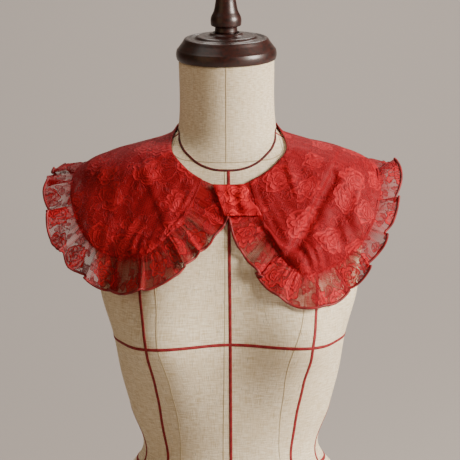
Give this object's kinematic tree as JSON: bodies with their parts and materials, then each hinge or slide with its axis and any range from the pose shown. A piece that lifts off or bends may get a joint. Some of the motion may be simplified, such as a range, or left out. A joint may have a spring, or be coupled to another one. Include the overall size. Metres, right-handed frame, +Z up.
{
  "type": "detachable lace collar on a dress form",
  "caption": "Two-flap floral lace cape collar with a gathered ruffle edge and a front tab, worn on a limbless table-top dress form with a turned neck cap and finial.",
  "frame": {"origin": "centre line of the dress form, on its flat base", "axes": "+Z up, the form and the collar's tab face -Y, +X is the right side of the front view"},
  "size_m": [0.4266, 0.2475, 0.7525],
  "materials": {
    "linen_cover": "natural slubby linen, stretched over the moulded form",
    "turned_wood": "very dark red-brown lacquered wood, glossy",
    "lace_double": "dark red floral lace, two layers, mostly opaque",
    "lace_single": "red floral lace, one layer, gathered, with a fine net ground"
  },
  "bodies": {
    "root": {"form_torso": "linen_cover", "neck_cap": "turned_wood", "finial": "turned_wood", "collar_panel": "lace_double", "ruffle_left": "lace_single", "ruffle_right": "lace_single", "front_tab": "lace_single"}
  },
  "joints": []
}
